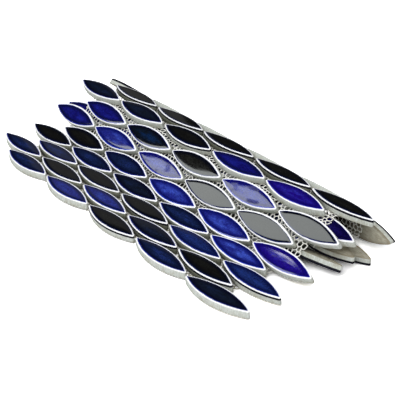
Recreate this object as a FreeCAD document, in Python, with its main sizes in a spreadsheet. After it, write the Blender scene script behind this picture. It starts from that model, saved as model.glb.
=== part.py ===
"""Sheet of leaf-shaped glazed mosaic tiles on a flexible mesh, lying with its far end rolled under.

Rows of tiles run along X. The sheet is followed across its rows, in the YZ plane: it starts flat at
the near edge (row 1), climbs a ramp, goes over a crest, comes back along the floor face down and
curls up once more inside. Each row is rigid and the mesh bends only between rows.
"""
import FreeCAD, Part
import math
import os
from collections import namedtuple

import Sketcher

SIZES = {
    # one tile
    "tile_length": 57.4,
    "tile_width": 15.7,
    "tile_thick": 5.3,
    "tip_width": 1.6,
    "draft_angle": 2.0,
    # how the tiles are laid on the mesh: free width between tip and tip, and between row and row
    "tiles_in_row": 5,
    "tip_gap": 2.6,
    "row_gap": 1.6,
    # mesh glued to the backs, and how far it runs past the middle of the first and last rows
    "mesh_thick": 0.6,
    "glue_gap": 0.5,
    "mesh_inset": 22.7,
    "mesh_margin": 1.0,
    # angle of the bend before each row of the upper run
    "bend_angle_2": 0.0,
    "bend_angle_3": 0.0,
    "bend_angle_4": 9.0,
    "bend_angle_5": 17.0,
    "bend_angle_6": 14.0,
    "bend_angle_7": -3.0,
    "bend_angle_8": -26.0,
    "bend_angle_9": -19.0,
    "bend_angle_10": -37.0,
    "bend_angle_11": -50.0,
    # rows that lie face down on the floor, drawn closer together by the fold
    "lower_rows": 4,
    "fold_gap": 1.4,
    "lower_gap": 0.3,
    # inner curl: free height under the ramp, and the bends that follow
    "curl_gap": 1.3,
    "bend_angle_17": -14.0,
    "bend_angle_18": -87.0,
    # last row, face down on the backs of the lower rows, drawn in towards the curl
    "end_row_slack": 3.0,
    "stack_gap": 0.4,
}
UPPER_BENDS = [f"bend_angle_{row}" for row in range(2, 12)]
CURL_BENDS = ["bend_angle_17", "bend_angle_18"]
FULL_TURN = 360.0
FACE_DOWN = -FULL_TURN / 2
RAMP_ROW = 7

Station = namedtuple("Station", "across up tilt")


def make_sheet(doc):
    """Spreadsheet with one named cell for each driving dimension."""
    sheet = doc.addObject("Spreadsheet::Sheet", "Sizes")
    for line, (name, value) in enumerate(SIZES.items(), start=1):
        sheet.set(f"A{line}", name)
        sheet.set(f"B{line}", str(value))
        sheet.setAlias(f"B{line}", name)
    doc.recompute()
    return sheet


def along(station, distance):
    """Point on the back plane of a row, at a distance from its centre line."""
    angle = math.radians(station.tilt)
    return (station.across + distance * math.cos(angle), station.up + distance * math.sin(angle))


def below(point, station, depth):
    """Point moved away from the glazed face, square to the row."""
    angle = math.radians(station.tilt)
    return (point[0] + depth * math.sin(angle), point[1] - depth * math.cos(angle))


def arc_of_leaf(sheet):
    """Radius of the two arcs of a tile, and how far their centres lie past its middle line."""
    rise = (sheet.tile_width - sheet.tip_width) / 2
    radius = ((sheet.tile_length / 2) ** 2 + rise**2) / (2 * rise)
    return radius, radius - sheet.tile_width / 2


def tile_pitch(sheet):
    """Distance from one tile to the next in a row."""
    return sheet.tile_length + sheet.tip_gap


def width_between_rows(sheet):
    """Width that two nested rows share: twice the half width of a tile a quarter pitch along."""
    radius, drop = arc_of_leaf(sheet)
    return 2 * (math.sqrt(radius**2 - (tile_pitch(sheet) / 4) ** 2) - drop)


def row_pitch(sheet):
    """Distance from one row to the next along the mesh."""
    return width_between_rows(sheet) + sheet.row_gap


def next_row(station, bend, pitch):
    """Row after this one, where the mesh bends halfway between the two."""
    joint = along(station, pitch / 2)
    tilt = station.tilt + bend
    across, up = along(Station(joint[0], joint[1], tilt), pitch / 2)
    return Station(across, up, tilt)


def chain(first, bend_names, sheet):
    """Rows that follow each other at the full row pitch, the first one included."""
    rows = [first]
    for name in bend_names:
        rows.append(next_row(rows[-1], getattr(sheet, name), row_pitch(sheet)))
    return rows


def row_stations(sheet):
    """Where the back of each row lies, from the near edge of the sheet to its inner end."""
    mesh_depth = sheet.glue_gap + sheet.mesh_thick
    nested = width_between_rows(sheet)
    upper = chain(Station(0.0, mesh_depth, 0.0), UPPER_BENDS, sheet)

    face_down_back = sheet.tile_thick
    lower_start = upper[-1].across - nested / 2 - sheet.fold_gap
    lower_pitch = nested + sheet.lower_gap
    lower = [
        Station(lower_start - count * lower_pitch, face_down_back, FACE_DOWN)
        for count in range(int(sheet.lower_rows))
    ]

    ramp = upper[RAMP_ROW - 1]
    under_ramp = sheet.tile_thick + mesh_depth + sheet.curl_gap
    across, up = below(along(ramp, -nested / 2), ramp, under_ramp)
    curl = chain(Station(across, up, ramp.tilt - FULL_TURN), CURL_BENDS, sheet)

    end_row = Station(
        curl[-1].across - row_pitch(sheet) + sheet.end_row_slack,
        face_down_back + mesh_depth + sheet.stack_gap + sheet.tile_thick,
        FACE_DOWN - FULL_TURN,
    )
    return upper + lower + curl + [end_row]


def plane_of(body, role):
    """One of the origin planes of a body."""
    return next(item for item in body.Origin.OriginFeatures if item.Role == role)


def leaf_outline(sheet, body, name):
    """Sketch of the tile: two equal arcs that meet at two blunt tips."""
    half_length = sheet.tile_length / 2
    half_tip = sheet.tip_width / 2
    radius, drop = arc_of_leaf(sheet)
    reach = math.atan2(half_length, drop + half_tip)

    sketch = body.newObject("Sketcher::SketchObject", name)
    sketch.AttachmentSupport = (plane_of(body, "XY_Plane"), [""])
    sketch.MapMode = "FlatFace"

    def arc(centre_y, middle_angle):
        circle = Part.Circle(FreeCAD.Vector(0, centre_y, 0), FreeCAD.Vector(0, 0, 1), radius)
        return Part.ArcOfCircle(circle, middle_angle - reach, middle_angle + reach)

    def tip(side):
        start = FreeCAD.Vector(side * half_length, -side * half_tip, 0)
        end = FreeCAD.Vector(side * half_length, side * half_tip, 0)
        return Part.LineSegment(start, end)

    far_arc = sketch.addGeometry(arc(-drop, math.pi / 2))
    left_tip = sketch.addGeometry(tip(-1))
    near_arc = sketch.addGeometry(arc(drop, -math.pi / 2))
    right_tip = sketch.addGeometry(tip(1))

    loop = [far_arc, left_tip, near_arc, right_tip]
    for current, following in zip(loop, loop[1:] + loop[:1]):
        sketch.addConstraint(Sketcher.Constraint("Coincident", current, 2, following, 1))
    x_axis, y_axis = -1, -2
    sketch.addConstraint(Sketcher.Constraint("Symmetric", far_arc, 1, far_arc, 2, y_axis))
    sketch.addConstraint(Sketcher.Constraint("Symmetric", left_tip, 1, left_tip, 2, x_axis))
    sketch.addConstraint(Sketcher.Constraint("Symmetric", right_tip, 1, right_tip, 2, x_axis))
    sketch.addConstraint(Sketcher.Constraint("Equal", far_arc, near_arc))

    length = Sketcher.Constraint("DistanceX", left_tip, 1, right_tip, 2, 2 * half_length)
    tip_size = Sketcher.Constraint("DistanceY", right_tip, 1, right_tip, 2, 2 * half_tip)
    bow = Sketcher.Constraint("Radius", far_arc, radius)
    for constraint, label in ((length, "length"), (tip_size, "tip"), (bow, "bow")):
        index = sketch.addConstraint(constraint)
        sketch.renameConstraint(index, label)
    sketch.setExpression("Constraints.length", "Sizes.tile_length")
    sketch.setExpression("Constraints.tip", "Sizes.tip_width")
    rise_cells = "(Sizes.tile_width - Sizes.tip_width) / 2"
    sketch.setExpression(
        "Constraints.bow", f"((Sizes.tile_length / 2)^2 + ({rise_cells})^2) / (2 * {rise_cells})"
    )
    return sketch


def tile_row(doc, sheet, number):
    """Row of like tiles on its own body, backs at Z = 0, centred on X."""
    name = f"tile_row_{number:02d}"
    body = doc.addObject("PartDesign::Body", name)
    body.Label = name
    body.AllowCompound = True
    sketch = leaf_outline(sheet, body, f"leaf_{number:02d}")

    tile = body.newObject("PartDesign::Pad", f"tile_{number:02d}")
    tile.Profile = sketch
    tile.setExpression("Length", "Sizes.tile_thick")
    tile.setExpression("TaperAngle", "-Sizes.draft_angle")

    pattern = body.newObject("PartDesign::LinearPattern", f"row_{number:02d}")
    pattern.Originals = [tile]
    pattern.Direction = (sketch, ["H_Axis"])
    pitch_cells = "(Sizes.tile_length + Sizes.tip_gap)"
    pattern.setExpression("Length", f"(Sizes.tiles_in_row - 1) * {pitch_cells}")
    pattern.setExpression("Occurrences", "Sizes.tiles_in_row")
    body.Tip = pattern
    return body


def row_placement(sheet, number, station):
    """Row moved to its station, odd rows half a tile further along X than even rows."""
    half_row = (sheet.tiles_in_row - 1) * tile_pitch(sheet) / 2
    quarter = tile_pitch(sheet) / 4
    shift = quarter if number % 2 else -quarter
    place = FreeCAD.Vector(shift - half_row, station.across, station.up)
    return FreeCAD.Placement(place, FreeCAD.Rotation(FreeCAD.Vector(1, 0, 0), station.tilt))


def mesh_path(sheet, stations):
    """Middle line of the mesh: flat behind each row, folded where the planes of two rows meet."""
    depth = sheet.glue_gap + sheet.mesh_thick / 2
    first, last = stations[0], stations[-1]
    points = [below(along(first, -sheet.mesh_margin), first, depth)]
    for row, following in zip(stations, stations[1:]):
        turn = math.radians(following.tilt - row.tilt)
        if abs(math.sin(turn)) < 1e-6:
            continue
        start = below(along(row, 0), row, depth)
        end = below(along(following, 0), following, depth)
        square = math.radians(following.tilt + 90)
        gap = (end[0] - start[0]) * math.cos(square) + (end[1] - start[1]) * math.sin(square)
        points.append(below(along(row, -gap / math.sin(turn)), row, depth))
    points.append(below(along(last, sheet.mesh_margin), last, depth))
    return points


def ribbon(points, thick):
    """Closed outline of a band of even thickness along a line of points."""
    left = []
    right = []
    for index, point in enumerate(points):
        before = points[max(index - 1, 0)]
        after = points[min(index + 1, len(points) - 1)]
        into = unit(before, point) if index else unit(point, after)
        out = unit(point, after) if index < len(points) - 1 else into
        mitre = (into[0] + out[0], into[1] + out[1])
        size = mitre[0] ** 2 + mitre[1] ** 2
        reach = thick / size
        left.append((point[0] - mitre[1] * reach, point[1] + mitre[0] * reach))
        right.append((point[0] + mitre[1] * reach, point[1] - mitre[0] * reach))
    return left + right[::-1]


def unit(start, end):
    """Direction from one point to another."""
    length = math.dist(start, end)
    return ((end[0] - start[0]) / length, (end[1] - start[1]) / length)


def mesh_backing(doc, sheet, stations):
    """Mesh that carries the tiles, cut straight a little inside the ends of the rows."""
    outline = ribbon(mesh_path(sheet, stations), sheet.mesh_thick)
    tiled_length = (sheet.tiles_in_row - 0.5) * tile_pitch(sheet) + sheet.tile_length
    mesh_length = tiled_length - 2 * sheet.mesh_inset
    corners = [FreeCAD.Vector(-mesh_length / 2, across, up) for across, up in outline]
    face = Part.Face(Part.makePolygon(corners + corners[:1]))
    mesh = doc.addObject("Part::Feature", "mesh_backing")
    mesh.Label = "mesh_backing"
    mesh.Shape = face.extrude(FreeCAD.Vector(mesh_length, 0, 0))
    return mesh


def centre_on_floor(parts):
    """Move all the parts together so that the origin is under the middle, at floor level."""
    whole = FreeCAD.BoundBox()
    for part in parts:
        whole.add(part.Shape.BoundBox)
    shift = FreeCAD.Vector(-whole.Center.x, -whole.Center.y, -whole.ZMin)
    for part in parts:
        part.Placement = FreeCAD.Placement(shift, FreeCAD.Rotation()).multiply(part.Placement)


def check(doc, parts, sheet):
    """Stop on a failed object or a shape that isn't whole."""
    for item in doc.Objects:
        if "Invalid" in item.State or "Error" in item.State:
            raise RuntimeError(f"{item.Name} did not build: {item.State}")
    for part in parts:
        if part.Shape.isNull() or not part.Shape.isValid():
            raise RuntimeError(f"{part.Label} has no valid shape")
    for part in parts[:-1]:
        if len(part.Shape.Solids) != int(sheet.tiles_in_row):
            raise RuntimeError(f"{part.Label} has {len(part.Shape.Solids)} tiles")


def main():
    doc = FreeCAD.newDocument("leaf_mosaic_sheet")
    sheet = make_sheet(doc)
    stations = row_stations(sheet)
    rows = [tile_row(doc, sheet, number) for number in range(1, len(stations) + 1)]
    doc.recompute()
    for number, (row, station) in enumerate(zip(rows, stations), start=1):
        row.Placement = row_placement(sheet, number, station)
    parts = rows + [mesh_backing(doc, sheet, stations)]
    doc.recompute()
    centre_on_floor(parts)
    doc.recompute()
    check(doc, parts, sheet)

    os.makedirs("parts", exist_ok=True)
    for part in parts:
        part.Shape.exportStep(os.path.join("parts", f"{part.Label}.step"))
    print(f"{len(parts)} files, {sum(len(part.Shape.Solids) for part in parts)} solids")


main()
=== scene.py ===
"""Sheet of leaf-shaped glazed mosaic tiles on a white net, lying with its far end rolled under.

Every row of tiles and the net are placed from the CAD frame. Lengths inside a tile and along
the net are in millimetres and become metres when the points are set in place.
"""
import bmesh
import bpy
import math
import random
from collections import namedtuple
from mathutils import Matrix, Vector, noise

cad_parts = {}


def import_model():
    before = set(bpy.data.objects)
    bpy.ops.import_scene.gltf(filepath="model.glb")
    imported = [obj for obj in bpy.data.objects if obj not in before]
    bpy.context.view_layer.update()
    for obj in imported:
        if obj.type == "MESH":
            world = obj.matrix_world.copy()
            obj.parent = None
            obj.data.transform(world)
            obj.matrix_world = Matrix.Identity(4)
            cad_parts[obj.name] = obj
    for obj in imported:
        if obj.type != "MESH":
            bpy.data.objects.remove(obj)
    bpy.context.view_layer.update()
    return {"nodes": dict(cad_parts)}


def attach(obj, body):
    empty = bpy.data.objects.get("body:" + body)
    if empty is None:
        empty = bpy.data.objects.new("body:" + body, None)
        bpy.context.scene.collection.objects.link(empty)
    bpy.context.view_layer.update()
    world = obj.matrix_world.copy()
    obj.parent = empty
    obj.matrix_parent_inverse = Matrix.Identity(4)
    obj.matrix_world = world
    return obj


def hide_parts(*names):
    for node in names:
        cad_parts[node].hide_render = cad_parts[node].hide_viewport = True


MM = 0.001
SAME_POINT = 1e-6
SAME_WAY = 0.9995
PARALLEL = 1e-6

# tile outline: points on a tip and on a long side, half the tip's width in mm, and how fast
# the tip of a ring gets sharper with the inset, down to the sharpest
TIP_POINTS = 4
ARC_POINTS = 25
TIP_HALF = 0.8
TIP_SHARPENS = 0.8
SHARPEST_TIP = 0.12
# tile profile in mm: inset and height of the wall's rings, inset and depth of the glazed ones
WALL_RINGS = [(0.5, 0.0), (0.12, 0.12), (0.03, 0.6)]
RIM_RINGS = [(0.18, 0.78), (0.24, 0.57), (0.4, 0.4), (0.65, 0.305), (0.95, 0.25)]
CROWN_RINGS = [(1.6, 0.15), (2.2, 0.083), (3.0, 0.034), (4.0, 0.016), (5.4, 0.004), (6.8, 0.0005)]
MIDDLE_INSET = 8.0
SHARP_ANGLE = 38
# waves in the glaze: their height in mm and how close together they are
UNEVEN = 0.018
UNEVEN_SCALE = 0.09
# how far apart in the noise neighbouring tiles and rows take their patterns
TILE_STEP = 37.0
ROW_STEP = 53.0

# glaze of each tile, from left to right, by row; the other rows draw theirs by chance
GLAZES = {
    1: "navy medium black navy midnight",
    2: "navy black medium midnight black",
    3: "navy black black blue blue",
    4: "black navy midnight navy cobalt",
    5: "black navy cobalt cobalt royal",
    6: "deep cobalt violet black black",
    7: "deep teal black violet black",
    8: "midnight midnight black deep royal",
    9: "black black black black black",
    16: "deep royal midnight midnight midnight",
    17: "midnight midnight midnight midnight indigo",
    18: "royal midnight midnight midnight midnight",
}
CHANCE_GLAZES = ["black", "midnight", "navy", "cobalt", "royal", "indigo"]
# row and place of the tiles whose glaze ran over the edge and left a dark line on the wall
RUNS = [(1, 3), (2, 4), (2, 5), (3, 3), (3, 5), (8, 3), (9, 1), (9, 2), (9, 3), (9, 4), (9, 5)]
# rows, and one tile more, whose rim is drawn dark instead of white, and whose sides get the dark line too
DARK_RIMS = (11, 13, 15, 19)
DARK_RIM_TILE = (10, 1)
# values of the attribute "run": none, a dark line, and a dark line under a dark rim
NO_RUN, LINE, DARK_RIM = 0.0, 1.0, 2.0

# the most by which a tile of the first rows is off its place: degrees, and mm along and across
LOOSE_ROWS = 9
LOOSE_TURN = 0.7
LOOSE_ALONG = 0.35
LOOSE_ACROSS = 0.12
# shift of whole rows across, in mm
ROW_SHIFTS = {1: 0.45, 4: -0.5, 5: -0.55, 8: 0.2}
# row and place: turn, pitch and roll in degrees, then shift along, across and out of the back in mm
SET_BY_HAND = {
    (1, 5): (5.3, 0, 0, -0.3, 0.2, 0),
    (13, 5): (-3.8, 0, 0, -0.1, -1.15, 0),
    (14, 5): (0, 0, 0, 0, -0.3, 0),
    (15, 5): (-3.0, 3.4, -26.4, -0.05, -2.13, -2.62),
    (16, 5): (0, 0, 0, 0, 0.45, 0),
}
# dirt and painted shade on the sides by row, and on the other rows; the shade is that of the narrow gaps
# between the rows
SIDE_SHADE_AND_DIRT = {1: 0.05, 2: 1.0, 3: 1.0, 4: 0.9, 5: 0.75, 6: 0.2, 7: 0.15, 8: 0.1, 9: 1.0}
OTHER_SIDE_SHADE_AND_DIRT = 0.3

# net in mm: width of a cell, how far its knots wander as a share of it, and the strands
CELL = 3.7
WOBBLE = 0.16
STRAND_THICK = 0.42
STRAND_WIDE = 1.12
STRAND_NARROW = 0.78
# how far the net's middle lies behind the tiles' backs, and how far it goes past the middle of the
# first and last rows
NET_DEPTH = 0.8
NET_MARGIN = 0.6
# span of the honeycomb that the ragged edges are cut from, and the edges right and left
NET_SPAN = 284
NET_RIGHT = 132.0
NET_LEFT = -136.0
RAGGED = 1.2
RAGGED_SCALE = 0.05
# past the first four rows the net reaches further, by the whole flap on the right, less on the left
FLAP = 8.0
LEFT_FLAP = 0.4
# straight runs of the net from the near edge: before the flap starts, behind the ten rows of the
# upper piece, and as far as the last row that lies on the floor
RUNS_TO_FLAP = 2
UPPER_RUNS = 8
RUNS_TO_LAST_FOLD = 10
# behind the raised tile, which would cut it, the net is left out: how far before and after the
# last fold on the floor, and from how far to the right
BARE_BEFORE = 15
BARE_AFTER = 9
BARE_FROM = 104
# gaps between the honeycomb and the two ends of the net
START_GAP = 0.2
END_GAP = 0.5

ROW_SEED = 100
NET_SEED = 7

Tile = namedtuple("Tile", "centre along across up length width thick")


def row_name(number):
    return f"tile_row_{number:02d}"


# Frames read from the CAD rows

def islands(bm):
    """Vertices of each separate solid."""
    left = set(bm.verts)
    found = []
    while left:
        queue = [left.pop()]
        group = []
        while queue:
            vert = queue.pop()
            group.append(vert.co.copy())
            for edge in vert.link_edges:
                other = edge.other_vert(vert)
                if other in left:
                    left.discard(other)
                    queue.append(other)
        found.append(group)
    return found


def glazed_side(bm):
    """Direction that the glazed faces look in: the smaller of the two flat sides."""
    sides = []
    for face in bm.faces:
        for side in sides:
            if side[0].dot(face.normal) > SAME_WAY:
                side[1] += face.calc_area()
                break
        else:
            sides.append([face.normal.copy(), face.calc_area()])
    sides.sort(key=lambda side: -side[1])
    return sides[1][0].normalized()


def tiles_of(node):
    """Tiles of one CAD row, from left to right."""
    bm = bmesh.new()
    bm.from_mesh(node.data)
    bmesh.ops.remove_doubles(bm, verts=bm.verts, dist=SAME_POINT)
    bm.normal_update()
    up = glazed_side(bm)
    along = Vector((1, 0, 0))
    across = up.cross(along)
    tiles = []
    for points in islands(bm):
        xs = [p.dot(along) for p in points]
        ys = [p.dot(across) for p in points]
        zs = [p.dot(up) for p in points]
        middle = (max(xs) + min(xs)) / 2 * along + (max(ys) + min(ys)) / 2 * across
        tiles.append(Tile(
            middle + min(zs) * up, along, across, up,
            (max(xs) - min(xs)) / MM, (max(ys) - min(ys)) / MM, (max(zs) - min(zs)) / MM,
        ))
    bm.free()
    return sorted(tiles, key=lambda tile: tile.centre.x)


# Tiles

def leaf_ring(tile, inset):
    """Outline of the leaf moved inwards, anticlockwise from the right tip."""
    half, side = tile.length / 2, tile.width / 2
    rise = side - TIP_HALF
    radius = (half**2 + rise**2) / (2 * rise)
    drop = radius - side
    blunt = (radius**2 - drop**2 - half**2) / (2 * (radius - half))
    blunt = max(blunt - TIP_SHARPENS * inset, SHARPEST_TIP)
    reach = math.sqrt((radius - inset - blunt) ** 2 - drop**2)
    turn = math.atan2(drop, reach)
    points = []
    for start, end, mark in ((-turn, turn, 1), (math.pi - turn, math.pi + turn, -1)):
        for step in range(TIP_POINTS + 1):
            angle = start + (end - start) * step / TIP_POINTS
            points.append((mark * reach + blunt * math.cos(angle), blunt * math.sin(angle)))
        for step in range(1, ARC_POINTS):
            angle = end + (math.pi - 2 * turn) * step / ARC_POINTS
            size = radius - inset
            points.append((size * math.cos(angle), size * math.sin(angle) - mark * drop))
    return points


def leaf_solid(tile):
    """Points (x, y, z, inset) and faces of a tile on its back, and which faces are glazed."""
    rings = WALL_RINGS + [(inset, tile.thick - depth) for inset, depth in RIM_RINGS + CROWN_RINGS]
    count = 2 * (TIP_POINTS + ARC_POINTS)
    points, faces, glazed = [], [], []
    for inset, height in rings:
        points += [(x, y, height, inset) for x, y in leaf_ring(tile, inset)]
    for level in range(len(rings) - 1):
        low, high = level * count, (level + 1) * count
        for k in range(count):
            following = (k + 1) % count
            faces.append((low + k, low + following, high + following, high + k))
            glazed.append(level >= len(WALL_RINGS))
    points.append((0, 0, 0, MIDDLE_INSET))
    points.append((0, 0, rings[-1][1], MIDDLE_INSET))
    back, front = len(points) - 2, len(points) - 1
    top = (len(rings) - 1) * count
    for k in range(count):
        following = (k + 1) % count
        faces += [(back, following, k), (front, top + k, top + following)]
        glazed += [False, True]
    return points, faces, glazed


def setting(row, place, count, chance):
    """Turn of a tile on the net as a matrix, and its shift in mm; end tiles shift inwards only."""
    pitch, roll, lift = 0, 0, 0
    if (row, place) in SET_BY_HAND:
        turn, pitch, roll, along, across, lift = SET_BY_HAND[row, place]
    elif row <= LOOSE_ROWS:
        turn = chance.uniform(-LOOSE_TURN, LOOSE_TURN)
        along = chance.uniform(-LOOSE_ALONG, LOOSE_ALONG)
        across = chance.uniform(-LOOSE_ACROSS, LOOSE_ACROSS)
        if place == 1:
            along = abs(along)
        elif place == count:
            along = -abs(along)
    else:
        turn, along, across = 0, 0, 0
    pose = Matrix.Identity(3)
    for angle, axis in ((roll, "X"), (pitch, "Y"), (turn, "Z")):
        pose = Matrix.Rotation(math.radians(angle), 3, axis) @ pose
    return pose, Vector((along, across + ROW_SHIFTS.get(row, 0), lift))


def glaze_names(row, count, chance):
    if row in GLAZES:
        return GLAZES[row].split()
    return [chance.choice(CHANCE_GLAZES) for _ in range(count)]


def glaze_run(row, place):
    if row in DARK_RIMS or (row, place) == DARK_RIM_TILE:
        return DARK_RIM
    return LINE if (row, place) in RUNS else NO_RUN


def set_attributes(data, points):
    """Give each vertex the values that the materials read, from one dictionary a vertex."""
    for name in points[0]:
        values = [point[name] for point in points]
        if name == "spot":
            flat = [part for value in values for part in value]
            data.attributes.new(name, "FLOAT_VECTOR", "POINT").data.foreach_set("vector", flat)
        else:
            data.attributes.new(name, "FLOAT", "POINT").data.foreach_set("value", values)


def tile_row(row, node, glazes, bisque):
    """One row of tiles as a single object that stands for its CAD row."""
    chance = random.Random(ROW_SEED + row)
    tiles = tiles_of(node)
    names = glaze_names(row, len(tiles), chance)
    used = sorted(set(names))
    data = bpy.data.meshes.new(row_name(row) + "_glazed")
    data.materials.append(bisque)
    for name in used:
        data.materials.append(glazes[name])

    points, faces, slots, marks = [], [], [], []
    solid, solid_faces, solid_glazed = leaf_solid(tiles[0])
    length, thick = tiles[0].length, tiles[0].thick
    for place, tile in enumerate(tiles, start=1):
        pose, shift = setting(row, place, len(tiles), chance)
        tone = chance.random()
        offset = Vector((TILE_STEP * place, ROW_STEP * row, 0))
        first = len(points)
        for x, y, z, inset in solid:
            if z > thick / 2:
                z += UNEVEN * (noise.noise(Vector((x, y, 0)) * UNEVEN_SCALE + offset) - 0.5)
            spot = (pose @ Vector((x, y, z)) + shift) * MM
            points.append(tile.centre + spot.x * tile.along + spot.y * tile.across + spot.z * tile.up)
            marks.append({
                "inset": inset, "height": z, "side": y, "reach": 2 * abs(x) / length,
                "run": glaze_run(row, place), "tone": tone, "shade_and_dirt": SIDE_SHADE_AND_DIRT.get(row, OTHER_SIDE_SHADE_AND_DIRT),
                "spot": (x + offset.x, y + offset.y, z),
            })
        slot = 1 + used.index(names[place - 1])
        for face, glazed in zip(solid_faces, solid_glazed):
            faces.append([first + corner for corner in face])
            slots.append(slot if glazed else 0)

    data.from_pydata(points, [], faces)
    data.polygons.foreach_set("material_index", slots)
    set_attributes(data, marks)
    data.shade_smooth()
    data.set_sharp_from_angle(angle=math.radians(SHARP_ANGLE))
    piece = bpy.data.objects.new(row_name(row) + "_glazed", data)
    bpy.context.scene.collection.objects.link(piece)
    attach(piece, "root")
    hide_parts(row_name(row))
    return tiles


# Net

def fold_line(rows):
    """Middle line of the net in the YZ plane: straight behind a row, folded between rows."""
    backs = [(row[0].centre - NET_DEPTH * MM * row[0].up, row[0].across, row[0].up) for row in rows]
    line = [backs[0][0] - NET_MARGIN * MM * backs[0][1]]
    for (point, across, _), (other, _, other_up) in zip(backs, backs[1:]):
        slope = across.dot(other_up)
        if abs(slope) < PARALLEL:
            continue
        line.append(point + across * ((other - point).dot(other_up) / slope))
    line.append(backs[-1][0] + NET_MARGIN * MM * backs[-1][1])
    return [Vector((0, p.y, p.z)) for p in line]


def on_line(line, travelled):
    """Point on the line, and the direction out of the backs there."""
    for start, end in zip(line, line[1:]):
        run = (end - start).length
        if travelled <= run or end is line[-1]:
            ahead = (end - start).normalized()
            return start + ahead * travelled, Vector((0, -ahead.z, ahead.y))
        travelled -= run


def net_edges(length, chance):
    """Crooked honeycomb: pairs of (x, travelled) points in mm."""
    side = CELL / math.sqrt(3)
    knots = {}

    def knot(column, line):
        key = (column, line)
        if key not in knots:
            lift = side / 4 if (column + line) % 2 else -side / 4
            x = column * CELL / 2 + CELL * chance.uniform(-WOBBLE, WOBBLE)
            knots[key] = (x, line * 1.5 * side + lift + CELL * chance.uniform(-WOBBLE, WOBBLE))
        return knots[key]

    columns = int(NET_SPAN / CELL)
    lines = int(length / (1.5 * side))
    pairs = []
    for line in range(lines + 1):
        for column in range(-columns, columns + 1):
            pairs.append((knot(column, line), knot(column + 1, line)))
            if (column + line) % 2:
                pairs.append((knot(column, line), knot(column, line + 1)))
    return pairs


def edge_of_net(travelled, flat_length):
    """How far the net reaches to the right and left at a distance along it, in mm."""
    flap = FLAP if travelled > flat_length else 0
    ragged = RAGGED * noise.noise(Vector((travelled * RAGGED_SCALE, 3.1, 0)))
    return NET_RIGHT + flap + ragged, NET_LEFT - LEFT_FLAP * flap + ragged


def strand(points, faces, ends, sides):
    """Three-sided strand that is thin halfway and thick at its knots."""
    start, end = ends
    ahead = (end - start).normalized()
    first = len(points)
    for part, wide in ((0, STRAND_WIDE), (0.5, STRAND_NARROW), (1, STRAND_WIDE)):
        middle = start.lerp(end, part)
        up = sides[0].lerp(sides[1], part).normalized()
        out = ahead.cross(up).normalized()
        half = wide / 2 * MM
        rise = STRAND_THICK / 2 * MM
        points += [middle + out * half - up * rise, middle - out * half - up * rise, middle + up * rise]
    for level in (0, 1):
        for k in range(3):
            low, high = first + 3 * level, first + 3 * level + 3
            faces.append((low + k, low + (k + 1) % 3, high + (k + 1) % 3, high + k))


def is_kept(pair, runs):
    """Whether a strand lies inside the net's edges and clear of the raised tile."""
    (x0, s0), (x1, s1) = pair
    middle = (s0 + s1) / 2
    right, left = edge_of_net(middle, sum(runs[:RUNS_TO_FLAP]))
    if not all(left < x < right for x in (x0, x1)):
        return False
    if min(s0, s1) < START_GAP or max(s0, s1) > sum(runs):
        return False
    last_fold = sum(runs[:RUNS_TO_LAST_FOLD])
    behind_raised = last_fold - BARE_BEFORE < middle < last_fold + BARE_AFTER
    return not (behind_raised and max(x0, x1) > BARE_FROM)


def net(rows, material):
    """The whole net in two pieces: under the rows in view, and along the rolled part."""
    chance = random.Random(NET_SEED)
    line = fold_line(rows)
    runs = [(end - start).length / MM for start, end in zip(line, line[1:])]
    split = sum(runs[:UPPER_RUNS])
    parts = {"net_upper": ([], []), "net_rolled": ([], [])}
    for pair in net_edges(sum(runs) - END_GAP, chance):
        if not is_kept(pair, runs):
            continue
        ends, sides = [], []
        for x, s in pair:
            point, side = on_line(line, s * MM)
            ends.append(Vector((x * MM, point.y, point.z)))
            sides.append(side)
        points, faces = parts["net_upper" if (pair[0][1] + pair[1][1]) / 2 < split else "net_rolled"]
        strand(points, faces, ends, sides)
    for name, (points, faces) in parts.items():
        data = bpy.data.meshes.new(name)
        data.from_pydata(points, [], faces)
        data.materials.append(material)
        data.shade_smooth()
        piece = bpy.data.objects.new(name, data)
        bpy.context.scene.collection.objects.link(piece)
        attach(piece, "root")
        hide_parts("mesh_backing")


# Materials

class Nodes:
    """Short way to add and link shader nodes."""

    def __init__(self, tree):
        self.tree = tree

    def add(self, kind, values=None, **settings):
        node = self.tree.nodes.new(kind)
        for name, value in settings.items():
            setattr(node, name, value)
        for name, value in (values or {}).items():
            self.plug(node, name, value)
        return node

    def plug(self, node, name, value):
        if isinstance(value, bpy.types.NodeSocket):
            self.tree.links.new(value, node.inputs[name])
        else:
            node.inputs[name].default_value = value

    def math(self, operation, a, b=0.0, clamp=False):
        node = self.add("ShaderNodeMath", {0: a, 1: b}, operation=operation, use_clamp=clamp)
        return node.outputs[0]

    def between(self, value, low, high, low_out=0.0, high_out=1.0):
        """Smooth step of a value from low_out at low to high_out at high."""
        node = self.add(
            "ShaderNodeMapRange",
            {"Value": value, "From Min": low, "From Max": high, "To Min": low_out, "To Max": high_out},
            interpolation_type="SMOOTHSTEP",
        )
        return node.outputs[0]

    def mix(self, factor, a, b, blend="MIX"):
        node = self.add("ShaderNodeMix", data_type="RGBA", blend_type=blend, clamp_factor=True)
        for name, value in ((0, factor), (6, a), (7, b)):
            self.plug(node, name, value)
        return node.outputs[2]

    def grey(self, value):
        return self.add("ShaderNodeCombineColor", {0: value, 1: value, 2: value}).outputs[0]

    def attribute(self, name, output="Fac"):
        node = self.add("ShaderNodeAttribute", attribute_name=name, attribute_type="GEOMETRY")
        return node.outputs[output]

    def place(self):
        return self.add("ShaderNodeTexCoord").outputs["Object"]

    def axis(self, vector, name):
        return self.add("ShaderNodeSeparateXYZ", {0: vector}).outputs[name]

    def noise(self, vector, scale, detail=2.0, roughness=0.5):
        node = self.add("ShaderNodeTexNoise", {
            "Vector": vector, "Scale": scale, "Detail": detail, "Roughness": roughness,
        })
        return node.outputs["Fac"]

    def stretched(self, vector, scale):
        node = self.add("ShaderNodeMapping", {"Vector": vector, "Scale": scale})
        return node.outputs[0]


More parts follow.
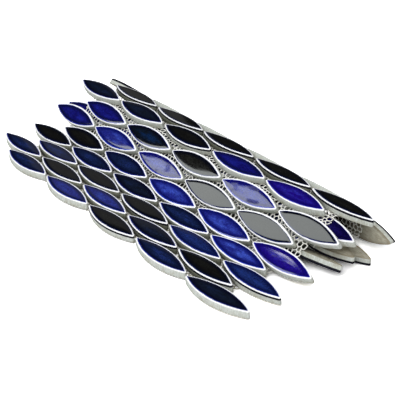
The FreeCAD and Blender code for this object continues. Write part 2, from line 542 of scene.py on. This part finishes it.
def new_material(name):
    material = bpy.data.materials.new(name)
    material.use_nodes = True
    material.node_tree.nodes.clear()
    return material, Nodes(material.node_tree)


def colour(red, green, blue):
    return (red, green, blue, 1.0)


def surface(nodes, values):
    """Principled surface wired to the output."""
    shader = nodes.add("ShaderNodeBsdfPrincipled", values)
    nodes.add("ShaderNodeOutputMaterial", {"Surface": shader.outputs[0]})


# stretched patterns: how often they repeat in 1 mm along the tile, across it and up its side
CLOUDS = (0.07, 0.2, 0.2)
DULL_PATCHES = (0.07, 0.17, 0.17)
HATCHING = (2.6, 2.6, 0.25)
STREAKS = (0.18, 2.4, 2.4)
# the part of a noise's range in which a pattern goes from its first colour to its second
PATTERN = 0.3, 0.7

# glaze, by its distance in mm from the tile's outline: white rim, thin band, pool, mottled middle;
# the rim and band get wider or narrower from one long side of the tile to the other
RIM_WIDE, RIM_CHANGE = 1.16, 0.03
BAND_WIDE, BAND_CHANGE = 0.75, 0.06
POOL_START, POOL_END = 2.4, 5.4
MOTTLE_START, MOTTLE_END = 3.0, 6.8
GLAZE_IOR = 1.52
RIM_WHITE = colour(0.95, 0.96, 0.98)
RIM_DARK = colour(0.012, 0.012, 0.03)

# thin: where the glaze thins at the rim; edge: pooled beside it; body; bloom: mottled middle
Glaze = namedtuple("Glaze", "thin edge body bloom amount dull", defaults=(0.0,))
GLAZE_KINDS = {
    "black": Glaze((0.01, 0.02, 0.12), (0.0015, 0.002, 0.006), (0.0042, 0.0042, 0.0042),
                   (0.009, 0.0095, 0.0085), 0.8),
    "midnight": Glaze((0.012, 0.025, 0.22), (0.0015, 0.002, 0.012), (0.004, 0.0065, 0.014),
                      (0.0065, 0.013, 0.045), 0.9),
    "teal": Glaze((0.015, 0.03, 0.25), (0.0015, 0.002, 0.008), (0.003, 0.005, 0.008),
                  (0.003, 0.0135, 0.052), 1.0),
    "navy": Glaze((0.015, 0.03, 0.30), (0.0015, 0.003, 0.022), (0.004, 0.009, 0.035),
                  (0.009, 0.020, 0.105), 1.0),
    "blue": Glaze((0.02, 0.04, 0.35), (0.002, 0.005, 0.05), (0.006, 0.014, 0.08),
                  (0.012, 0.030, 0.170), 1.0),
    "medium": Glaze((0.02, 0.04, 0.40), (0.003, 0.006, 0.05), (0.008, 0.011, 0.14),
                    (0.020, 0.042, 0.29), 1.0),
    "cobalt": Glaze((0.02, 0.05, 0.50), (0.003, 0.005, 0.10), (0.011, 0.015, 0.18),
                    (0.042, 0.078, 0.46), 1.0),
    "deep": Glaze((0.02, 0.03, 0.35), (0.0024, 0.0037, 0.045), (0.0044, 0.004, 0.10),
                  (0.010, 0.0145, 0.22), 1.0),
    "royal": Glaze((0.03, 0.03, 0.45), (0.0044, 0.0018, 0.114), (0.0097, 0.002, 0.17),
                   (0.026, 0.028, 0.32), 1.0),
    "violet": Glaze((0.03, 0.05, 0.50), (0.004, 0.004, 0.10), (0.006, 0.010, 0.18),
                    (0.008, 0.024, 0.29), 1.0, 0.4),
    "indigo": Glaze((0.02, 0.015, 0.20), (0.002, 0.001, 0.03), (0.004, 0.002, 0.05),
                    (0.008, 0.005, 0.08), 0.9),
}


def mottled_glaze(nodes, kind, depth, fine):
    """Colour of the face: dark pool by the rim, clouds of bloom towards the middle, fine grain."""
    spot = nodes.attribute("spot", "Vector")
    pooled = nodes.mix(
        nodes.between(depth, POOL_START, POOL_END), colour(*kind.edge), colour(*kind.body))
    cloud = nodes.noise(nodes.stretched(spot, CLOUDS), 1.0, 4.0, 0.62)
    cloud = nodes.between(cloud, 0.36, 0.68)
    inwards = nodes.between(depth, MOTTLE_START, MOTTLE_END)
    off_tips = nodes.between(nodes.attribute("reach"), 0.15, 0.8, 1.0, 0.35)
    middle = nodes.math("MULTIPLY", inwards, off_tips)
    share = nodes.math("MULTIPLY", nodes.math("MULTIPLY", cloud, middle), kind.amount)
    by_tile = nodes.between(nodes.attribute("tone"), 0.0, 1.0, 0.7, 1.15)
    share = nodes.math("MULTIPLY", share, by_tile, clamp=True)
    face = nodes.mix(share, pooled, colour(*kind.bloom))
    speckle = nodes.noise(spot, 3.2, 2.0, 0.6)
    grain = nodes.between(nodes.math("ADD", speckle, fine), 0.75, 1.25, 0.6, 1.45)
    return nodes.mix(1.0, face, nodes.grey(grain), blend="MULTIPLY")


def rimmed(nodes, kind, depth, face):
    """The face with the rim round it: white or dark, then a band where the glaze is thin."""
    side = nodes.attribute("side")
    rim = nodes.math("ADD", nodes.math("MULTIPLY", side, RIM_CHANGE), RIM_WIDE)
    band = nodes.math("SUBTRACT", BAND_WIDE, nodes.math("MULTIPLY", side, BAND_CHANGE))
    past = nodes.math("SUBTRACT", depth, rim)
    into_band = nodes.between(nodes.math("DIVIDE", past, band), 0.15, 1.0)
    thin = nodes.mix(into_band, colour(*kind.thin), face)
    dark = nodes.between(nodes.attribute("run"), LINE + 0.2, DARK_RIM - 0.2)
    return nodes.mix(nodes.between(past, -0.15, 0.15), nodes.mix(dark, RIM_WHITE, RIM_DARK), thin)


def glaze_material(name, kind):
    """Glossy glaze: white where it thins over the rim, dark where it pools, mottled in the middle."""
    material, nodes = new_material("glaze_" + name)
    spot = nodes.attribute("spot", "Vector")
    wander = nodes.noise(spot, 0.14, 2.0)
    fine = nodes.noise(spot, 0.9, 3.0, 0.6)
    wobble = nodes.math("MULTIPLY", nodes.math("SUBTRACT", wander, 0.5), 0.6)
    wobble = nodes.math("ADD", wobble, nodes.math("MULTIPLY", nodes.math("SUBTRACT", fine, 0.5), 0.3))
    depth = nodes.math("ADD", nodes.attribute("inset"), wobble)
    face = mottled_glaze(nodes, kind, depth, fine)

    waves = nodes.math("ADD", nodes.math("MULTIPLY", wander, 0.6), nodes.math("MULTIPLY", fine, 0.03))
    bump = nodes.add("ShaderNodeBump", {"Height": waves, "Strength": 0.25, "Distance": 0.00005})
    roughness = nodes.between(fine, 0.2, 0.8, 0.05, 0.085)
    if kind.dull:
        patches = nodes.noise(nodes.stretched(spot, DULL_PATCHES), 1.0, 0.0)
        roughness = nodes.math("ADD", roughness, nodes.between(patches, 0.57, 0.75, 0.0, kind.dull))
    surface(nodes, {
        "Base Color": rimmed(nodes, kind, depth, face),
        "Roughness": roughness,
        "IOR": GLAZE_IOR,
        "Normal": bump.outputs[0],
    })
    return material


# unglazed clay; a pair is the first and second colour of a pattern
CLAY_SIDE = colour(0.54, 0.57, 0.53), colour(0.72, 0.76, 0.73)
SIDE_STAIN = colour(0.44, 0.43, 0.33)
# painted shade: dark side colours for the narrow gaps between the rows, near black at the foot, with some
# dirt
SHADED_DIRTY_SIDE = colour(0.15, 0.16, 0.12), colour(0.27, 0.29, 0.23)
SHADED_FOOT = colour(0.015, 0.016, 0.014)
SIDE_STREAK = colour(0.22, 0.19, 0.12)
CLAY_BACK = colour(0.48, 0.46, 0.36), colour(0.66, 0.65, 0.54)
BACK_STREAK = colour(0.28, 0.21, 0.13)
BACK_EDGE = colour(0.20, 0.16, 0.10)
# painted shade: dark colour for the backs inside the roll
SHADED_INNER_BACK = colour(0.10, 0.09, 0.07)
GLAZE_RUN = colour(0.006, 0.006, 0.012)
# heights in mm: where the back's colour gives way to the side's, and how low a run of glaze comes
BACK_ENDS = 0.05, 0.35
RUN_STARTS = 3.0, 3.2
# distances in metres from the middle of the sheet: where the painted shade between the rows leaves the
# sides, and where the painted shade inside the roll leaves the backs
SIDE_SHADE_END = 0.118, 0.138
BACK_SHADE_END = 0.122, 0.153


def clay_side(nodes, spot, height, hatch, blotch, from_middle):
    """Hatched side of a tile, stained low down, with dirt and painted shade between the rows, darkest at the
    foot.
    """
    hatched = nodes.between(hatch, *PATTERN)
    low = nodes.between(height, 0.4, 4.2, 0.75, 0.1)
    stain = nodes.math("MULTIPLY", low, nodes.between(blotch, 0.35, 0.7))
    side = nodes.mix(stain, nodes.mix(hatched, *CLAY_SIDE), SIDE_STAIN)
    # painted shade: the foot of a side between the rows goes near black
    foot = nodes.between(height, 1.6, 3.8, 0.65, 0.0)
    shaded_dirty = nodes.mix(foot, nodes.mix(hatched, *SHADED_DIRTY_SIDE), SHADED_FOOT)
    # painted shade: towards the middle of the sheet the sides lie in the rows' shade, the exposed ends do
    # not
    covered = nodes.between(from_middle, *SIDE_SHADE_END, 1.0, 0.1)
    side = nodes.mix(nodes.math("MULTIPLY", nodes.attribute("shade_and_dirt"), covered), side, shaded_dirty)
    return nodes.mix(nodes.between(streaks(nodes, spot), 0.45, 0.72, 0.0, 0.35), side, SIDE_STREAK)


def clay_back(nodes, spot, blotch, from_middle):
    """Brownish back of a tile, darker at its edge, with painted shade towards the inside of the roll."""
    back = nodes.mix(nodes.between(blotch, *PATTERN), *CLAY_BACK)
    back = nodes.mix(nodes.between(streaks(nodes, spot), 0.42, 0.68, 0.0, 0.6), back, BACK_STREAK)
    back = nodes.mix(nodes.between(nodes.attribute("inset"), 0.5, 2.2, 0.55, 0.0), back, BACK_EDGE)
    # painted shade: backs go dark towards the inside of the roll
    return nodes.mix(nodes.between(from_middle, *BACK_SHADE_END), SHADED_INNER_BACK, back)


def streaks(nodes, spot):
    return nodes.noise(nodes.stretched(spot, STREAKS), 1.0, 3.0, 0.65)


def bisque_material():
    """Unglazed sides with upright hatching, brownish backs, and a dark line where glaze ran over."""
    material, nodes = new_material("bisque")
    spot = nodes.attribute("spot", "Vector")
    height = nodes.attribute("height")
    hatch = nodes.noise(nodes.stretched(spot, HATCHING), 1.0, 2.0, 0.6)
    blotch = nodes.noise(spot, 0.22, 3.0, 0.6)
    from_middle = nodes.math("ABSOLUTE", nodes.axis(nodes.place(), "X"))
    side = clay_side(nodes, spot, height, hatch, blotch, from_middle)
    back = clay_back(nodes, spot, blotch, from_middle)
    whole = nodes.mix(nodes.between(height, *BACK_ENDS), back, side)

    drip = nodes.math("ADD", height, nodes.math("MULTIPLY", nodes.math("SUBTRACT", blotch, 0.5), 0.5))
    ran = nodes.between(nodes.attribute("run"), NO_RUN, LINE)
    line = nodes.math("MULTIPLY", nodes.between(drip, *RUN_STARTS), ran)
    whole = nodes.mix(line, whole, GLAZE_RUN)
    bump = nodes.add("ShaderNodeBump", {"Height": hatch, "Strength": 0.5, "Distance": 0.0002})
    surface(nodes, {
        "Base Color": whole, "Roughness": 0.85, "Specular IOR Level": 0.15, "Normal": bump.outputs[0],
    })
    return material


# net: dull with glue and painted shade under the flat rows, clean and unshaded past them, by Y in metres
NET_CLEAN = colour(0.98, 0.98, 0.94), colour(0.94, 0.93, 0.86)
NET_GLUED_AND_SHADED = colour(0.46, 0.45, 0.33), colour(0.33, 0.32, 0.22)
NET_FIBRE = colour(0.50, 0.48, 0.38)
GLUE_AND_SHADE_ENDS = -0.024, -0.006


def net_material():
    """White fibre, cream in patches, and dull under the flat rows with glue and painted shade."""
    material, nodes = new_material("net_fibre")
    place = nodes.place()
    patch = nodes.between(nodes.noise(place, 160.0, 2.0), *PATTERN)
    fibre = nodes.noise(place, 1800.0, 2.0)
    # painted shade, with glue: strands under the flat rows, deep in the gaps, are darker
    rolled = nodes.between(nodes.axis(place, "Y"), *GLUE_AND_SHADE_ENDS)
    base = nodes.mix(rolled, nodes.mix(patch, *NET_GLUED_AND_SHADED), nodes.mix(patch, *NET_CLEAN))
    base = nodes.mix(nodes.between(fibre, 0.4, 0.7, 0.0, 0.15), base, NET_FIBRE)
    bump = nodes.add("ShaderNodeBump", {"Height": fibre, "Strength": 0.4, "Distance": 0.0001})
    surface(nodes, {"Base Color": base, "Roughness": 0.7, "Normal": bump.outputs[0]})
    return material


# Stage, light and camera; places and sizes in metres, lamps in watts

FLOOR_SIDE = 8
FLOOR_DROP = 0.0001
# how pale the camera sees the floor, under the sheet and beside it, so that only a soft shadow is
# left, and how far out the floor becomes the white backdrop
FLOOR_UNDER = 0.8
FLOOR_BESIDE = 2.2
BESIDE_X = 0.12, 0.15
BESIDE_Y = 0.04, 0.06
BACKDROP = 0.3, 0.6
# mirrored sky: how high, as the Z of a direction, it goes from bright to dark, and how bright and
# how dark it is; ambient light on the object
SKY_EDGE = 0.05, 0.16
SKY_STRENGTH = 0.9, 0.012
AMBIENT = 0.15

CAMERA_PLACE = (0.60012, -0.39192, 0.37033)
CAMERA_RIGHT = Vector((0.58893, 0.80737, -0.03619))
CAMERA_DOWN = Vector((0.35628, -0.29956, -0.88506))
CAMERA_LENS = 101.19
CAMERA_SENSOR = 36


def floor():
    """White ground that keeps a soft shadow."""
    material, nodes = new_material("floor")
    place = nodes.place()
    pale = nodes.mix(nodes.noise(place, 30.0), colour(0.79, 0.79, 0.79), colour(0.81, 0.81, 0.81))
    matt = nodes.add("ShaderNodeBsdfDiffuse", {"Color": pale})
    x = nodes.math("ABSOLUTE", nodes.axis(place, "X"))
    y = nodes.math("ABSOLUTE", nodes.axis(place, "Y"))
    beside = nodes.math("MAXIMUM", nodes.between(x, *BESIDE_X), nodes.between(y, *BESIDE_Y))
    lift = nodes.between(beside, 0.0, 1.0, FLOOR_UNDER, FLOOR_BESIDE)
    shown = nodes.add("ShaderNodeBsdfDiffuse", {"Color": nodes.grey(lift)})
    backdrop = nodes.add("ShaderNodeEmission", {"Color": colour(1, 1, 1), "Strength": 1.0})
    distance = nodes.add("ShaderNodeVectorMath", {0: place}, operation="LENGTH").outputs["Value"]
    open_floor = nodes.add("ShaderNodeMixShader", {
        0: nodes.between(distance, *BACKDROP), 1: shown.outputs[0], 2: backdrop.outputs[0],
    })
    seen = nodes.add("ShaderNodeLightPath")
    choice = nodes.add("ShaderNodeMixShader", {
        0: seen.outputs["Is Camera Ray"], 1: matt.outputs[0], 2: open_floor.outputs[0],
    })
    nodes.add("ShaderNodeOutputMaterial", {"Surface": choice.outputs[0]})
    bpy.ops.mesh.primitive_plane_add(size=FLOOR_SIDE, location=(0, 0, -FLOOR_DROP))
    ground = bpy.context.object
    ground.name = "floor"
    ground.data.materials.append(material)


def world():
    """White to the camera; in reflections white at the horizon and dark above it."""
    space = bpy.data.worlds.new("studio")
    space.use_nodes = True
    space.node_tree.nodes.clear()
    nodes = Nodes(space.node_tree)
    way = nodes.add("ShaderNodeTexCoord").outputs["Generated"]
    dome = nodes.between(nodes.axis(way, "Z"), *SKY_EDGE, *SKY_STRENGTH)
    seen = nodes.add("ShaderNodeLightPath")
    ambient = nodes.math("MULTIPLY", seen.outputs["Is Diffuse Ray"], AMBIENT)
    reflected = nodes.math("MAXIMUM", seen.outputs["Is Glossy Ray"], seen.outputs["Is Transmission Ray"])
    mirrored = nodes.math("MULTIPLY", reflected, dome)
    strength = nodes.math("MAXIMUM", nodes.math("MAXIMUM", ambient, mirrored), seen.outputs["Is Camera Ray"])
    back = nodes.add("ShaderNodeBackground", {"Color": colour(1, 1, 1), "Strength": strength})
    nodes.add("ShaderNodeOutputWorld", {"Surface": back.outputs[0]})
    bpy.context.scene.world = space


def soft_box(name, place, aim, size, power, tint=(1, 1, 1)):
    """Rectangular lamp that faces a point."""
    data = bpy.data.lights.new(name, "AREA")
    data.shape = "RECTANGLE"
    data.size, data.size_y = size
    data.energy = power
    data.color = tint
    lamp = bpy.data.objects.new(name, data)
    lamp.location = place
    lamp.rotation_euler = (Vector(aim) - Vector(place)).to_track_quat("-Z", "Y").to_euler()
    bpy.context.scene.collection.objects.link(lamp)


def toward(azimuth, elevation, distance):
    """Point at a distance in a direction, azimuth 0 along +Y and 90 along -X."""
    a, e = math.radians(azimuth), math.radians(elevation)
    return Vector((-math.sin(a) * math.cos(e), math.cos(a) * math.cos(e), math.sin(e))) * distance


def lights():
    """Two soft lamps for the whole, and three that the tilted glazes mirror."""
    soft_box("overhead", (-0.05, 0.0, 1.6), (0, 0, 0), (1.4, 1.4), 13)
    soft_box("key", toward(215, 45, 1.5), (0, 0, 0.01), (1.0, 0.8), 15)
    soft_box(
        "mirrored_box", (-0.78, -0.484, 0.811), (0.063, -0.045, -0.001), (0.32, 0.555), 2.4,
        tint=(0.95, 1.0, 0.985))
    soft_box("mirrored_strip", (-0.780, -0.066, 1.047), (0.135, -0.004, 0.01), (0.026, 0.045), 0.034)
    soft_box("back_card", toward(59.5, 21.25, 1.3), (0, 0, 0), (0.39, 0.42), 0.06)


def camera():
    """Camera of the photograph, fitted to the tips of the tiles."""
    ahead = CAMERA_RIGHT.cross(-CAMERA_DOWN) * -1
    rows = (CAMERA_RIGHT.normalized(), -CAMERA_DOWN.normalized(), -ahead.normalized())
    data = bpy.data.cameras.new("camera")
    data.lens = CAMERA_LENS
    data.sensor_width = CAMERA_SENSOR
    data.clip_start, data.clip_end = 0.01, 50
    view = bpy.data.objects.new("camera", data)
    view.matrix_world = Matrix.Translation(CAMERA_PLACE) @ Matrix(rows).transposed().to_4x4()
    bpy.context.scene.collection.objects.link(view)
    bpy.context.scene.camera = view


def main():
    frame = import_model()
    bpy.context.scene.view_settings.view_transform = "Standard"
    camera()
    lights()
    world()
    floor()

    bisque = bisque_material()
    glazes = {name: glaze_material(name, kind) for name, kind in GLAZE_KINDS.items()}
    numbers = sorted(int(name[-2:]) for name in frame["nodes"] if name.startswith("tile_row_"))
    rows = [tile_row(number, frame["nodes"][row_name(number)], glazes, bisque) for number in numbers]
    net(rows, net_material())


main()
